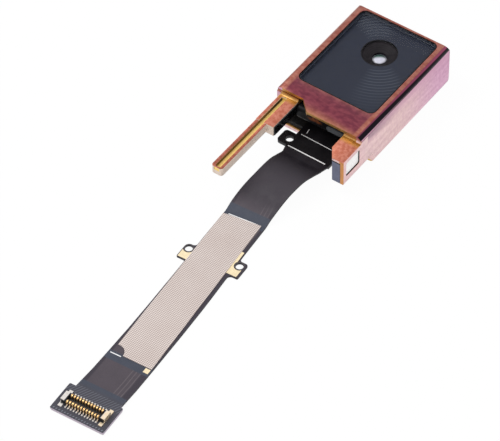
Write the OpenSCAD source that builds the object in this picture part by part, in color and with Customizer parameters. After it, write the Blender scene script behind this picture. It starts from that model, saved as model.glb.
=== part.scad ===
// Slide-out front camera module of a phone: a metal housing with a drive arm
// and a magnet leg, the fixed-focus camera inside it, and its flex circuit.
// X runs across the housing, Y towards its closed far end, Z out of the window.
// The origin is where the optical axis meets the rear face.

/* [Housing] */
// Outer width of the housing
body_w = 12.56; // [12.3:0.01:14]
// Thickness from the rear face to the front face
body_t = 6.1; // [6:0.01:7]
// From the optical axis to the far end, at the front face
body_far = 4.75; // [4.75:0.05:7]
// From the optical axis to the mouth beside the drive arm
body_near = 11.35; // [11:0.05:13]
// How far the apron reaches past the mouth
apron_reach = 1.5; // [0.8:0.05:2]
// Side position where the mouth edge turns into the slope of the apron
apron_x = -2.64; // [-3.2:0.02:-1]
// How far the rear wall stops short of the mouth on the leg side
rear_cutback = 1.1; // [0.5:0.05:1.4]
// Bulge of the far end wall
end_crown = 0.7; // [0.3:0.05:1]
// Radius along the four long edges
edge_r = 0.7; // [0.3:0.05:0.8]
// Radius of the two far corners seen from the front
corner_r = 0.5; // [0.2:0.05:0.8]
// Side wall thickness
side_wall = 0.7; // [0.5:0.05:0.8]
// Front wall thickness at the mouth
front_wall = 0.6; // [0.4:0.05:0.7]
// Rear wall thickness
rear_wall = 0.6; // [0.4:0.05:0.65]
// End wall thickness at the front face
end_wall = 0.75; // [0.6:0.05:0.8]
// Bevel along the front edge of the mouth
mouth_bevel = 0.25; // [0.1:0.05:0.35]

/* [Window] */
// Width of the window glass
glass_w = 10.4; // [9.6:0.05:10.6]
// Length of the window glass
glass_len = 13.5; // [12:0.05:13.8]
// Thickness of the window glass
glass_t = 0.55; // [0.4:0.05:0.6]
// Corner radius of the window glass
glass_r = 0.8; // [0.3:0.05:1.2]
// Gap between the glass and its pocket
glass_gap = 0.06; // [0.03:0.01:0.1]
// How deep the glass sits below the front face
glass_sink = 0.02; // [0:0.01:0.05]
// Metal left between the pocket and the far end
far_rim = 0.24; // [0.2:0.02:0.4]
// Width of the ledge that carries the glass
glass_ledge = 0.6; // [0.4:0.05:0.8]
// Thickness of the ledge
ledge_t = 0.43; // [0.3:0.01:0.45]
// Thickness of the patterned film under the glass
film_t = 0.05; // [0.03:0.01:0.08]
// Thickness of the adhesive frame under the film
adhesive_t = 0.05; // [0.03:0.01:0.08]
// Radius of the clear lens opening in the film
lens_window_r = 2.1; // [1.8:0.05:2.3]

/* [Camera] */
// Outer radius of the lens barrel
barrel_r = 2.75; // [2.6:0.05:3]
// Radius of the front lens element
front_lens_r = 1; // [0.8:0.05:1.1]
// Depth of the cone in the top of the barrel
hood_depth = 0.6; // [0.4:0.05:0.8]
// Thickness of the foam ring on the barrel
gasket_t = 0.18; // [0.1:0.02:0.25]
// Side of the square lens holder
holder_w = 7.8; // [7.2:0.05:7.9]
// Height of the lens holder
holder_h = 2.4; // [2:0.05:2.6]
// Side of the infrared filter
filter_w = 5.6; // [5:0.05:5.8]
// Thickness of the infrared filter
filter_t = 0.21; // [0.15:0.01:0.3]
// Width of the image sensor
sensor_w = 5.3; // [4.6:0.05:5.4]
// Thickness of the image sensor
sensor_t = 0.35; // [0.2:0.01:0.45]
// Thickness of the sensor board
board_t = 0.6; // [0.4:0.02:0.7]
// Thickness of the steel plate under the board
plate_t = 0.15; // [0.1:0.01:0.25]

/* [Drive arm and leg] */
// Width of the drive arm
arm_w = 1.45; // [1.2:0.05:1.8]
// Height of the drive arm
arm_h = 1.1; // [0.9:0.05:1.3]
// From the optical axis to the tip of the drive arm
arm_end = 24.75; // [20:0.05:28]
// Width of the thick block at the arm's root
arm_block_w = 2.4; // [2.1:0.05:2.5]
// Height of the thick block
arm_block_h = 1.4; // [1.2:0.05:1.6]
// From the optical axis to the end of the thick block
arm_block_end = 16.25; // [15:0.05:18]
// Inset of the arm from the housing's side face
arm_inset = 0.58; // [0.4:0.02:0.65]
// Width of the groove along the arm
groove_w = 0.7; // [0.4:0.05:0.8]
// Depth of the groove along the arm
groove_d = 0.4; // [0.2:0.05:0.6]
// Depth of arm and leg below the front face
limb_drop = 0.9; // [0.8:0.05:1.1]
// Width of the magnet leg
leg_w = 2.45; // [2.3:0.05:2.6]
// Height of the magnet leg
leg_h = 3.5; // [3.2:0.05:3.6]
// From the optical axis to the tip of the magnet leg
leg_end = 16.35; // [15.8:0.05:18]
// Width of the magnet
magnet_w = 1.55; // [1.3:0.05:1.6]
// Length of the magnet
magnet_len = 2; // [1.5:0.05:2.2]
// Gap between the magnet and its pocket
magnet_gap = 0.04; // [0.02:0.01:0.06]
// Length of the glide pad in the leg's side
glide_len = 2.55; // [2:0.05:2.7]
// Height of the glide pad
glide_h = 2; // [1.6:0.05:2.3]
// Thickness of the glide pad
glide_t = 0.14; // [0.1:0.01:0.2]
// Depth of the glide pad's pocket
glide_depth = 0.3; // [0.22:0.01:0.32]

/* [Flex circuit] */
// Width of the ribbon
ribbon_w = 5.4; // [4.8:0.05:5.8]
// Thickness of the flex circuit
flex_t = 0.22; // [0.2:0.01:0.25]
// Width of the stiffened stretch at the exit
exit_w = 5.9; // [5.5:0.05:6.1]
// Side position of the exit's middle
exit_x = 0.4; // [0.3:0.02:0.5]
// From the optical axis to the end of the exit stiffener
exit_end = 15; // [14.6:0.05:15.3]
// Thickness of the exit stiffener
exit_stiffener_t = 0.22; // [0.1:0.01:0.3]
// Radius of the hole in the exit tab
tab_hole_r = 0.47; // [0.3:0.01:0.6]
// Radius of the holes in the two ears
ear_hole_r = 0.45; // [0.3:0.01:0.55]
// Metal and film left round each hole
ring_w = 0.2; // [0.15:0.01:0.3]
// Length of the straight stretch from the landing to the end plate
run_len = 29.5; // [27:0.1:34]
// Distance from the landing to the left ear's hole
left_ear_at = 6.85; // [5:0.05:9]
// Distance from the landing to the right ear's hole
right_ear_at = 6.2; // [5:0.05:9]
// How far the left ear's hole lies outside the ribbon's edge
left_ear_out = 0.6; // [0.5:0.05:0.9]
// How far the right ear's hole lies outside the ribbon's edge
right_ear_out = 0.2; // [0.1:0.05:0.9]
// Width of the end plate
end_plate_w = 6.8; // [6.4:0.05:8]
// Length of the end plate
end_plate_len = 3.85; // [3.5:0.05:5]
// Side shift of the end plate from the ribbon's middle
end_plate_shift = -0.3; // [-0.5:0.05:0]
// Length of the woven ground tape
tape_len = 23.45; // [18:0.05:24]
// Width of the ground tape at its upper end
tape_w = 4.68; // [4:0.02:4.8]
// How much wider the tape is at its lower end
tape_flare = 0.28; // [0:0.02:0.3]
// Thickness of the ground tape
tape_t = 0.08; // [0.05:0.01:0.15]
// Angle between the tape and the ribbon
tape_skew = 1.3; // [0:0.1:1.5]
// Thickness of the gilded ground pads
pad_t = 0.03; // [0.02:0.01:0.05]

/* [Board connector] */
// Contacts in each of the two rows
contact_count = 12; // [6:1:14]
// Distance between neighbouring contacts
contact_pitch = 0.353; // [0.33:0.001:0.36]
// Width of one contact
contact_w = 0.17; // [0.12:0.01:0.2]
// Thickness of the contact metal
contact_t = 0.07; // [0.05:0.01:0.08]
// Distance between the middles of the two contact walls
wall_span = 0.9; // [0.85:0.02:1]
// Height of the connector above the flex
connector_h = 0.62; // [0.5:0.02:0.8]
// Thickness of the stiffener under the end plate
plate_stiffener_t = 0.2; // [0.1:0.01:0.3]

/* [Hidden] */

$fn = 48;
// Overshoot of a cut past the surface that it opens
cut = 1;
// Overlap that welds two blocks of one solid
weld = 0.02;

// Housing
half_w = body_w / 2;
inner_half_w = half_w - side_wall;
mouth_y = -body_near;
apron_y = mouth_y - apron_reach;
rear_edge_y = mouth_y + rear_cutback;
cavity_far_y = body_far - end_wall;
mouth_top_z = body_t - front_wall;
// The mouth is this deep at full height, and lower further in
mouth_depth = 0.75;
crown_r = (pow(body_t / 2, 2) + pow(end_crown, 2)) / (2 * end_crown);

// Window
window_far_y = body_far - far_rim - glass_gap;
window_y = window_far_y - glass_len / 2;
glass_z = body_t - glass_sink - glass_t;
film_z = glass_z - film_t;
ledge_z = film_z - adhesive_t;
cavity_top_z = ledge_z - ledge_t;

// Flex leaves at the middle of the sensor board
foam_t = 0.55;
plate_z = rear_wall + foam_t;
board_z = plate_z + plate_t;
flex_z = board_z + (board_t - flex_t) / 2;
flex_mid_z = flex_z + flex_t / 2;
board_top_z = board_z + board_t;
board_half = 4.2;
board_near_y = -4.6;
board_far_y = cavity_far_y - 0.1;

// Camera stack
holder_wall = 0.6;
filter_seat_h = sensor_t + 0.2;
filter_z = board_top_z + filter_seat_h;
gasket_z = film_z - gasket_t;
barrel_z = board_top_z + 1;
hood_z = gasket_z - hood_depth;
hood_r = lens_window_r - 0.1;
// Radius and thickness of each lens element, front to back
element_r = [front_lens_r, front_lens_r + 0.2, front_lens_r + 0.5, front_lens_r + 0.8];
element_t = [0.42, 0.24, 0.24, 0.26];
spacer_t = 0.07;

// Arm and leg
limb_top_z = body_t - limb_drop;
arm_x = -half_w + arm_inset;
arm_top_z = limb_top_z - 0.1;
arm_bottom_z = arm_top_z - arm_h;
arm_root_y = mouth_y + 1.75;
arm_tip_r = 0.35;
leg_x = half_w - leg_w;
leg_bottom_z = limb_top_z - leg_h;
leg_root_y = mouth_y + 1.35;
leg_chamfer_x = 0.95;
leg_chamfer_y = 1.4;
leg_roof = 0.3;
magnet_x = half_w - 0.43 - magnet_w;
glide_side_gap = 0.04;
liner_t = 0.12;
glide_y = -leg_end + 0.65;
glide_z = leg_bottom_z + 0.9;

// Plug behind the mouth, and its bar under the apron
plug_gap = 0.06;
plug_far_y = -holder_w / 2 - 0.75;
plug_step_y = arm_root_y + plug_gap;
nose_y = mouth_y - 0.6;
nose_z = leg_bottom_z + 1.5;

// Tab beside the exit
tab_hole = [-2.76, -13.9];
tab_left = -3.95;
tab_near = -14.85;
tab_far = -12.9;
tab_corner = 0.4;

// Landing of the ribbon on the surface, and its heading from there
landing = [-0.21, -25.65];
run_yaw = 3.9;
// The run's edges bow: distance from the landing, and offset from half its width
left_bow = [[0, 0.15], [4, 0.12], [10, 0], [16, -0.04], [20, -0.02], [25, 0.1], [30, 0.26]];
right_bow = [[0, -0.35], [4, -0.28], [8.6, -0.14], [12.7, 0.02], [17, 0.09], [24, 0.1], [30, 0.06]];
landing_shift = (right_bow[0][1] - left_bow[0][1]) / 2;
landing_w = ribbon_w + right_bow[0][1] + left_bow[0][1];
// Middle line of the free bend: x, y, z, roll and yaw at each point
bend_route = [
    [exit_x, -15.9, flex_mid_z, 0, 0],
    [0.35, -17.06, flex_mid_z + 0.38, 1.5, -4],
    [0.15, -18.3, flex_mid_z + 0.57, 2, -7],
    [0, -19.54, flex_mid_z + 0.49, 2.3, -7],
    [-0.17, -20.86, flex_mid_z + 0.2, 2, -7],
    [-0.32, -22.01, flex_mid_z - 0.15, 0, -6],
    [-0.43, -23.17, 1.04, -2, -4],
    [-0.5, -24.49, 0.54, -1.6, 0],
    [landing[0] + landing_shift * cos(run_yaw), landing[1] + landing_shift * sin(run_yaw),
     flex_t / 2, 0, run_yaw]
];
bend_steps = 4;

// The run's own frame has its origin at the landing and runs to -Y
ramp_len = 3;
plate_start = run_len;
plate_mid = plate_start + end_plate_len / 2;
connector_at = plate_start + 2.05;
row_len = (contact_count - 1) * contact_pitch;
connector_z = plate_stiffener_t + flex_t;
contact_wall = 0.3;
connector_base_h = 0.16;
connector_base_w = wall_span + contact_wall + 2 * contact_t + connector_base_h;
holddown_len = 0.5;
connector_len = row_len + 2 * holddown_len + 0.7;

// Places of the two ear holes in the run's frame
left_hole = [-ribbon_w / 2 - left_ear_out, -left_ear_at];
right_hole = [ribbon_w / 2 + right_ear_out, -right_ear_at];
ear_r = ear_hole_r + ring_w;
ear_len = 1.65;

// ---------- profiles ----------

// Rectangle centred on the origin with exact round corners
module round_rect(w, l, r) {
    square([w - 2 * r, l], center = true);
    square([w, l - 2 * r], center = true);
    for (x = [-1, 1], y = [-1, 1])
        translate([x * (w / 2 - r), y * (l / 2 - r)])
            circle(r);
}

// Rectangle from one corner to the opposite one
module block2(from, to) {
    translate(from)
        square(to - from);
}

// Slot with round ends, centred, lying along X
module stadium(l, w) {
    square([l - w, w], center = true);
    for (x = [-1, 1])
        translate([x * (l - w) / 2, 0])
            circle(w / 2);
}

// Concave corner piece that fills a right angle at the origin
module fillet_corner(r) {
    difference() {
        square(r);
        translate([r, r])
            circle(r);
    }
}

// Box from one corner to the opposite one
module block(from, to) {
    translate(from)
        cube(to - from);
}

// Profile drawn in Y and Z, extruded from x0 to x1
module across(x0, x1) {
    translate([x0, 0, 0])
        rotate([90, 0, 90])
            linear_extrude(x1 - x0)
                children();
}

// Window outline, grown or shrunk on every side
module window_outline(grow) {
    translate([0, window_y])
        round_rect(glass_w + 2 * grow, glass_len + 2 * grow, max(0.1, glass_r + grow));
}

// ---------- housing ----------

// Side view of the shell: the far end is one shallow arc
module shell_side() {
    intersection() {
        translate([apron_y - cut, 0])
            square([body_far + end_crown - apron_y + cut, body_t]);
        translate([body_far + end_crown - crown_r, body_t / 2])
            union() {
                circle(crown_r, $fn = 180);
                translate([-body_near * 3, -body_t])
                    square([body_near * 3, 2 * body_t]);
            }
    }
}

// Front view of the shell: the apron stands out on the leg side
module shell_front() {
    corner_y = body_far + end_crown - corner_r;
    polygon([
        [-half_w, corner_y], [-half_w, mouth_y], [apron_x, mouth_y],
        [apron_x + apron_reach, apron_y], [half_w, apron_y], [half_w, corner_y]
    ]);
    block2([-half_w + corner_r, corner_y - cut], [half_w - corner_r, corner_y + corner_r]);
    for (side = [-1, 1])
        translate([side * (half_w - corner_r), corner_y])
            circle(corner_r);
}

module shell_outer() {
    intersection() {
        across(-half_w - cut, half_w + cut)
            shell_side();
        translate([0, 0, -cut])
            linear_extrude(body_t + 2 * cut)
                shell_front();
        translate([0, body_far + end_crown + cut, body_t / 2])
            rotate([90, 0, 0])
                linear_extrude(body_far - apron_y + 2 * cut + end_crown)
                    round_rect(body_w, body_t, edge_r);
    }
}

// Space below the front wall, outside the mouth
module mouth_cuts() {
    block([-half_w - cut, apron_y - cut, -cut], [leg_x, mouth_y, mouth_top_z]);
    block([leg_x - weld, apron_y - cut, -cut], [half_w + cut, rear_edge_y, leg_bottom_z]);
    // The rear wall steps back on a slope, as the apron steps out
    translate([0, 0, -cut])
        linear_extrude(rear_wall + cut + weld)
            polygon([
                [apron_x, mouth_y], [apron_x + rear_cutback, rear_edge_y],
                [leg_x, rear_edge_y], [leg_x, mouth_y]
            ]);
    // Bevel along the apron, seen as a bright line
    across(apron_x + apron_reach, half_w + cut)
        translate([apron_y, mouth_top_z])
            rotate(45)
                square(mouth_bevel * sqrt(2), center = true);
    across(-half_w - cut, apron_x)
        translate([mouth_y, mouth_top_z])
            rotate(45)
                square(mouth_bevel * sqrt(2), center = true);
}

module cavity() {
    block([-inner_half_w, mouth_y - cut, rear_wall],
          [inner_half_w, cavity_far_y, cavity_top_z]);
    block([-inner_half_w, apron_y - cut, rear_wall],
          [inner_half_w, mouth_y + mouth_depth, mouth_top_z]);
}

module window_pocket() {
    translate([0, 0, ledge_z])
        linear_extrude(body_t - ledge_z + cut)
            window_outline(glass_gap);
    translate([0, 0, cavity_top_z - cut])
        linear_extrude(cut + ledge_t + cut)
            window_outline(-glass_ledge);
}

module arm_solid() {
    root_x = -inner_half_w - weld;
    // Root inside the mouth, tied to the side wall and the front wall
    block([root_x, mouth_y, limb_top_z - arm_block_h],
          [arm_x + arm_block_w, arm_root_y, mouth_top_z + weld]);
    block([arm_x, -arm_block_end, limb_top_z - arm_block_h],
          [arm_x + arm_block_w, mouth_y, limb_top_z]);
    // Fillet from the front wall down to the block
    across(arm_x, arm_x + arm_block_w)
        translate([mouth_y, limb_top_z])
            mirror([1, 0])
                fillet_corner(front_wall / 2);
    translate([arm_x, 0, arm_bottom_z])
        linear_extrude(arm_h)
            union() {
                translate([0, -arm_end + arm_tip_r])
                    square([arm_w, arm_end - arm_block_end - arm_tip_r + weld]);
                translate([arm_w / 2, -arm_end + arm_tip_r * 1.5])
                    round_rect(arm_w, 3 * arm_tip_r, arm_tip_r);
            }
}

module arm_groove() {
    tip_wall = 0.2;
    outer_rim = 0.4;
    // It runs up to the fillet at the front wall
    groove_near = body_near + front_wall / 2 + 0.05;
    groove_far = arm_end - tip_wall;
    translate([arm_x + outer_rim + groove_w / 2, -(groove_far + groove_near) / 2, arm_top_z - groove_d])
        linear_extrude(groove_d + cut)
            round_rect(groove_w, groove_far - groove_near, groove_w / 4);
}

// The leg seen from the front, with its inner corner cut off at the tip
module leg_outline() {
    polygon([
        [leg_x, leg_root_y],
        [leg_x, -leg_end + leg_chamfer_y],
        [leg_x + leg_chamfer_x, -leg_end],
        [half_w, -leg_end],
        [half_w, leg_root_y]
    ]);
}

module leg_solid() {
    translate([0, 0, leg_bottom_z])
        linear_extrude(leg_h)
            leg_outline();
    block([leg_x, apron_y + mouth_bevel, limb_top_z - weld],
          [inner_half_w + weld, leg_root_y, mouth_top_z + weld]);
    // Fillets: leg top to apron, and leg underside to the side wall's edge
    across(leg_x, half_w)
        translate([apron_y + mouth_bevel, limb_top_z])
            mirror([1, 0])
                fillet_corner(mouth_bevel);
    across(inner_half_w, half_w)
        translate([rear_edge_y, leg_bottom_z])
            rotate(180)
                fillet_corner(edge_r);
}

module magnet_pocket() {
    block([magnet_x - magnet_gap, -leg_end - cut, leg_bottom_z - cut],
          [magnet_x + magnet_w + magnet_gap, -leg_end + magnet_len, limb_top_z - leg_roof]);
}

module glide_outline(grow) {
    translate([glide_y + glide_len / 2, glide_z + glide_h / 2])
        round_rect(glide_len + 2 * grow, glide_h + 2 * grow, 0.2 + grow);
}

module housing() {
    color([0.56, 0.28, 0.34])
        difference() {
            union() {
                difference() {
                    shell_outer();
                    mouth_cuts();
                    cavity();
                    window_pocket();
                }
                arm_solid();
                leg_solid();
            }
            arm_groove();
            magnet_pocket();
            across(half_w - glide_depth, half_w + cut)
                glide_outline(glide_side_gap);
        }
}

module hall_magnet() {
    color([0.37, 0.38, 0.47])
        intersection() {
            block([magnet_x, -leg_end, leg_bottom_z],
                  [magnet_x + magnet_w, -leg_end + magnet_len, limb_top_z - leg_roof]);
            translate([0, 0, leg_bottom_z])
                linear_extrude(leg_h)
                    leg_outline();
        }
}

module glide_pad() {
    color([0.95, 0.94, 0.92])
        across(half_w - glide_depth, half_w - glide_depth + glide_t)
            glide_outline(0);
}

module arm_liner() {
    liner_edge = 0.08;
    color([0.04, 0.04, 0.05])
        block([arm_x + arm_block_w, -arm_block_end + liner_edge,
               limb_top_z - arm_block_h + liner_edge],
              [arm_x + arm_block_w + liner_t, mouth_y - 0.15,
               limb_top_z - liner_edge]);
}

// ---------- window ----------

module window_glass() {
    color([0.2, 0.22, 0.26])
        translate([0, 0, glass_z])
            linear_extrude(glass_t)
                window_outline(0);
}

module pattern_film() {
    color([0.18, 0.19, 0.22])
        translate([0, 0, film_z])
            linear_extrude(film_t)
                difference() {
                    window_outline(-glass_gap);
                    circle(lens_window_r);
                }
}

module window_adhesive() {
    color([0.1, 0.1, 0.1])
        translate([0, 0, ledge_z])
            linear_extrude(adhesive_t)
                difference() {
                    window_outline(-glass_gap);
                    window_outline(-glass_ledge);
                }
}

// ---------- camera ----------

// Depth of each lens element's front, worked down from the hood
function element_top(i) =
    i == 0 ? hood_z : element_top(i - 1) - element_t[i - 1] - spacer_t;

module lens_gasket() {
    color([0.12, 0.12, 0.13])
        translate([0, 0, gasket_z])
            difference() {
                cylinder(h = gasket_t, r = barrel_r);
                translate([0, 0, -cut])
                    cylinder(h = gasket_t + 2 * cut, r = lens_window_r);
            }
}

module lens_barrel() {
    color([0.07, 0.07, 0.08])
        difference() {
            translate([0, 0, barrel_z])
                cylinder(h = gasket_z - barrel_z, r = barrel_r);
            translate([0, 0, hood_z])
                cylinder(h = hood_depth, r1 = front_lens_r - 0.1, r2 = hood_r);
            translate([0, 0, gasket_z - weld])
                cylinder(h = cut, r = hood_r);
            for (i = [0:3])
                translate([0, 0, element_top(i) - element_t[i] - spacer_t])
                    cylinder(h = element_t[i] + spacer_t + (i == 0 ? 0 : weld), r = element_r[i]);
            translate([0, 0, hood_z - weld])
                cylinder(h = 2 * weld, r = front_lens_r - 0.1);
            translate([0, 0, barrel_z - cut])
                cylinder(h = element_top(3) - element_t[3] - barrel_z + cut, r = element_r[3] - 0.15);
        }
}

// Lens with a domed front and a flat rim, its front pole at the height top
module lens(i, dome_r) {
    rim = 0.6 * element_t[i];
    translate([0, 0, element_top(i) - element_t[i]])
        intersection() {
            cylinder(h = element_t[i], r = element_r[i]);
            union() {
                cylinder(h = rim, r = element_r[i]);
                translate([0, 0, element_t[i] - dome_r])
                    sphere(dome_r, $fn = 96);
            }
        }
}

module lens_element_1() {
    color([0.35, 0.45, 0.4])
        lens(0, 1.6);
}

module lens_element_2() {
    color([0.5, 0.6, 0.65])
        lens(1, 4);
}

module lens_element_3() {
    color([0.5, 0.6, 0.65])
        lens(2, 5);
}

module lens_element_4() {
    color([0.5, 0.6, 0.65])
        lens(3, 6);
}

module lens_spacers() {
    color([0.05, 0.05, 0.05])
        for (i = [0:2])
            translate([0, 0, element_top(i) - element_t[i] - spacer_t])
                difference() {
                    cylinder(h = spacer_t, r = element_r[i]);
                    translate([0, 0, -cut])
                        cylinder(h = 2 * cut, r = element_r[i] * 0.7);
                }
}

module lens_holder() {
    color([0.09, 0.09, 0.1])
        difference() {
            translate([-holder_w / 2, -holder_w / 2, board_top_z])
                cube([holder_w, holder_w, holder_h]);
            // Room for the sensor, the filter's seat and the barrel
            translate([0, 0, board_top_z - cut])
                linear_extrude(cut + filter_seat_h)
                    square(holder_w - 2 * holder_wall, center = true);
            translate([0, 0, board_top_z])
                linear_extrude(filter_z + filter_t - board_top_z)
                    square(filter_w + 0.1, center = true);
            translate([0, 0, barrel_z])
                cylinder(h = holder_h + cut, r = barrel_r);
            translate([0, 0, filter_z])
                cylinder(h = holder_h, r = element_r[3]);
        }
}

module ir_filter() {
    color([0.3, 0.6, 0.75])
        translate([0, 0, filter_z + filter_t / 2])
            cube([filter_w, filter_w, filter_t], center = true);
}

module image_sensor() {
    color([0.25, 0.22, 0.35])
        translate([-sensor_w / 2, -sensor_w * 0.38, board_top_z])
            cube([sensor_w, sensor_w * 0.76, sensor_t]);
}

module sensor_board() {
    color([0.1, 0.25, 0.15])
        block([-board_half, board_near_y, board_z], [board_half, board_far_y, board_top_z]);
}

module board_stiffener() {
    color([0.7, 0.7, 0.72])
        block([-board_half, board_near_y, plate_z], [board_half, board_far_y, board_z]);
}

// Foam under the board, and on to the mouth where it lines the rear wall
module rear_foam() {
    inset = 0.4;
    sill_gap = 0.2;
    color([0.15, 0.15, 0.15])
        translate([0, 0, rear_wall])
            linear_extrude(foam_t)
                union() {
                    block2([-board_half + inset, rear_edge_y + sill_gap],
                           [board_half - inset, board_far_y - inset]);
                    block2([-inner_half_w + sill_gap, rear_edge_y + sill_gap],
                           [inner_half_w - sill_gap, plug_far_y]);
                    block2([-inner_half_w + sill_gap, mouth_y + sill_gap],
                           [apron_x - sill_gap, rear_edge_y + sill_gap + weld]);
                }
}

// Four small capacitors beside the lens holder, on the board
module capacitors() {
    cap_l = 0.6;
    cap_w = 0.3;
    color([0.7, 0.6, 0.45])
        for (i = [0:3])
            translate([-board_half + 0.5 + i * 0.9, board_near_y + 0.1, board_top_z])
                cube([cap_l, cap_w, cap_w]);
}

module memory_chip() {
    color([0.1, 0.1, 0.1])
        translate([0.8, board_near_y + 0.05, board_top_z])
            cube([1.6, 0.55, 0.4]);
}

// Black moulded plug behind the mouth, with a round-edged bar under the apron
module bottom_cap() {
    nose_top = cavity_top_z - plug_gap;
    nose_r = 0.5;
    nose_x0 = arm_x + arm_block_w + liner_t + plug_gap;
    nose_x1 = leg_x - plug_gap;
    color([0.06, 0.06, 0.07])
        union() {
            block([-inner_half_w + plug_gap, plug_step_y, flex_z + flex_t],
                  [inner_half_w - plug_gap, plug_far_y, nose_top]);
            across(nose_x0, nose_x1)
                union() {
                    block2([nose_y + nose_r, nose_z], [plug_step_y + weld, nose_top]);
                    block2([nose_y, nose_z + nose_r], [nose_y + 2 * nose_r, nose_top - nose_r]);
                    for (z = [nose_z + nose_r, nose_top - nose_r])
                        translate([nose_y + nose_r, z])
                            circle(nose_r);
                }
        }
}

// Soft pad with round ends on the front of the bar
module cap_pad() {
    pad_l = 2.4;
    pad_w = 0.7;
    color([0.3, 0.31, 0.32])
        translate([leg_x - plug_gap - 0.35 - pad_l / 2, nose_y, nose_z + 0.92])
            rotate([90, 0, 0])
                linear_extrude(0.15)
                    stadium(pad_l, pad_w);
}

// ---------- flex circuit ----------

// Places its children in the frame of the straight run
module on_run() {
    translate([landing[0], landing[1], 0])
        rotate(run_yaw)
            children();
}

function catmull(a, b, c, d, t) =
    0.5 * (2 * b + (c - a) * t + (2 * a - 5 * b + 4 * c - d) * t * t
    + (3 * b - a - 3 * c + d) * t * t * t);

// The point 1 further along the run
function run_ahead(p) = [p[0] + sin(run_yaw), p[1] - cos(run_yaw), p[2], p[3], p[4]];

// Point i of the route, continued straight past both ends
function route_at(i) =
    i < 0 ? [bend_route[0][0], bend_route[0][1] + 1.3, bend_route[0][2], 0, 0]
    : i > len(bend_route) - 1 ? run_ahead(bend_route[len(bend_route) - 1])
    : bend_route[i];

// The smooth middle line through the route's points
bend_line = [
    for (i = [0:len(bend_route) - 2], k = [0:bend_steps - 1])
        catmull(route_at(i - 1), route_at(i), route_at(i + 1), route_at(i + 2), k / bend_steps),
    route_at(len(bend_route) - 1)
];

function place(p) = [p[0], p[1], p[2]];
function unit(v) = v / norm(v);

// Direction of the line at ring i, straight at its two ends
function heading(i) =
    i == 0 ? [0, -1, 0]
    : i == len(bend_line) - 1 ? [sin(run_yaw), -cos(run_yaw), 0]
    : unit(place(bend_line[i + 1]) - place(bend_line[i - 1]));

// Four corners of the ribbon's section at ring i
function section(i, w) =
    let (p = bend_line[i],
         side = [cos(p[4]) * cos(p[3]), sin(p[4]) * cos(p[3]), sin(p[3])],
         up = unit(cross(side, -heading(i))))
    [for (c = [[-1, -1], [1, -1], [1, 1], [-1, 1]])
        place(p) + side * (c[0] * w / 2) + up * (c[1] * flex_t / 2)];

// The ribbon along its free bend, as one swept solid
module bend_sweep() {
    rings = len(bend_line);
    points = [
        for (i = [0:rings - 1])
            each section(i, ribbon_w + (landing_w - ribbon_w) * i / (rings - 1))
    ];
    walls = [
        for (i = [0:rings - 2], k = [0:3])
            let (a = 4 * i + k, b = 4 * i + (k + 1) % 4)
            each [[b, a, b + 4], [b + 4, a, a + 4]]
    ];
    last = 4 * (rings - 1);
    polyhedron(points = points, faces = concat(
        [[0, 1, 2, 3]], walls, [[last + 3, last + 2, last + 1, last]]));
}

// Tab beside the exit stretch, seen from above
module exit_tab() {
    tab_inner = exit_x - exit_w / 2 + 0.5;
    translate([(tab_left + tab_inner) / 2, (tab_near + tab_far) / 2])
        round_rect(tab_inner - tab_left, tab_far - tab_near, tab_corner);
}

module exit_outline(from_y, to_y) {
    difference() {
        union() {
            block2([exit_x - exit_w / 2, to_y], [exit_x + exit_w / 2, from_y]);
            exit_tab();
        }
        translate(tab_hole)
            circle(tab_hole_r);
    }
}

module exit_stiffener() {
    color([0.05, 0.05, 0.06])
        translate([0, 0, flex_z - exit_stiffener_t])
            linear_extrude(exit_stiffener_t)
                exit_outline(mouth_y + 2, -exit_end);
}

module exit_flat() {
    taper_end = bend_route[0][1];
    translate([0, 0, flex_z])
        linear_extrude(flex_t)
            union() {
                exit_outline(board_near_y, -exit_end);
                polygon([
                    [exit_x - exit_w / 2, -exit_end + weld],
                    [exit_x + exit_w / 2, -exit_end + weld],
                    [exit_x + exit_w / 2, -exit_end],
                    [exit_x + ribbon_w / 2, taper_end],
                    [exit_x - ribbon_w / 2, taper_end],
                    [exit_x - exit_w / 2, -exit_end]
                ]);
            }
}

// Distance of the run's edge from its middle line; side is -1 or 1
function edge_at(s, side) = ribbon_w / 2 + lookup(s, side < 0 ? left_bow : right_bow);

// One ear: rounded, as wide as its ring at the top, with fillets to the ribbon
module ear_outline(hole, side, past_ring, top_r, heel_fillet) {
    heel_r = 0.15;
    hole_x = hole[0] * side;
    low_y = hole[1] - ear_len;
    top_y = hole[1] + ear_r;
    reach = hole_x + ear_r + past_ring;
    top_edge = edge_at(-top_y, side);
    low_edge = edge_at(-low_y, side);
    root = min(top_edge, low_edge) - 0.3;
    scale([side, 1])
        union() {
            block2([root, low_y], [reach - heel_r, top_y - top_r]);
            block2([root, low_y + heel_r], [reach, top_y - top_r]);
            block2([root, low_y + heel_r], [reach - top_r, top_y]);
            translate([reach - heel_r, low_y + heel_r])
                circle(heel_r);
            translate([reach - top_r, top_y - top_r])
                circle(top_r);
            translate([low_edge, low_y])
                mirror([0, 1])
                    fillet_corner(heel_fillet);
            translate([top_edge, top_y])
                fillet_corner(0.4);
        }
}

module ears() {
    ear_outline(left_hole, -1, -0.05, ear_r - 0.05, 0.3);
    ear_outline(right_hole, 1, 0.1, 0.3, 0.5);
}

// The run seen from above, between two distances from the landing
module run_outline(from_s, to_s) {
    steps = 12;
    stations = [for (i = [0:steps]) from_s + (to_s - from_s) * i / steps];
    polygon(concat(
        [for (i = [0:steps]) [edge_at(stations[i], 1), -stations[i]]],
        [for (i = [steps:-1:0]) [-edge_at(stations[i], -1), -stations[i]]]
    ));
}

module end_plate_outline() {
    translate([end_plate_shift, -plate_mid])
        round_rect(end_plate_w, end_plate_len, 0.15);
}

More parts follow.
